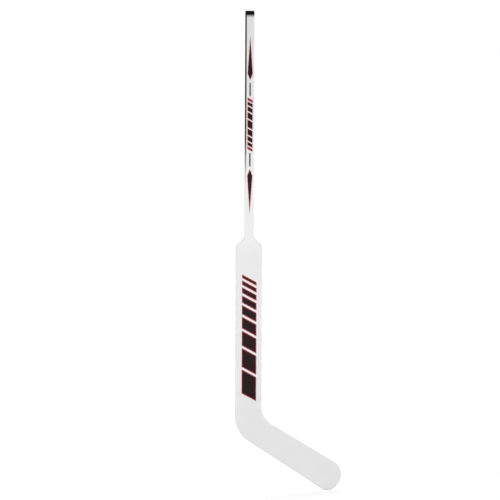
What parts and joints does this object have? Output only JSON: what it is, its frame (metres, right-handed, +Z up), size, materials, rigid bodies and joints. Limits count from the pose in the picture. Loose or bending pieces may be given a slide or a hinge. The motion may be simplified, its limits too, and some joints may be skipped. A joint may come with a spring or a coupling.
{
  "type": "ice hockey goalie stick",
  "caption": "Ice hockey goalie stick: long narrow handle with a moulded end cap, wide flat paddle and a gently curved, angled blade, laminated over a wood and foam core.",
  "frame": {"origin": "middle of the shaft section where the shoulders of the paddle begin, at the lower edge of the blocker hand", "axes": "+Z up the shaft to its end cap, +X towards the toe of the blade, -Y out of the playing face"},
  "size_m": [0.3632, 0.0344, 1.6197],
  "materials": {
    "cap_plastic": "satin black moulded plastic",
    "shaft_laminate": "white lacquer over glass fibre, narrow sides fading from black to white",
    "face_laminate": "white lacquer over glass fibre",
    "aspen": "planed, glued",
    "birch": "planed, glued",
    "basswood": "planed, glued",
    "rib_laminate": "raw resin laminate",
    "core_foam": "cut rigid foam"
  },
  "bodies": {
    "root": {"butt_cap": "cap_plastic", "shaft_sleeve": "shaft_laminate", "handle_middle_ply": "aspen", "handle_front_ply": "birch", "handle_rear_ply": "birch", "paddle_rib_left": "rib_laminate", "paddle_rib_right": "rib_laminate", "paddle_foam_left": "core_foam", "paddle_foam_right": "core_foam", "heel_block": "basswood", "blade_rib_lower": "rib_laminate", "blade_rib_upper": "rib_laminate", "blade_foam_lower": "core_foam", "blade_foam_middle": "core_foam", "blade_foam_upper": "core_foam", "front_skin": "face_laminate", "rear_skin": "face_laminate"}
  },
  "joints": []
}
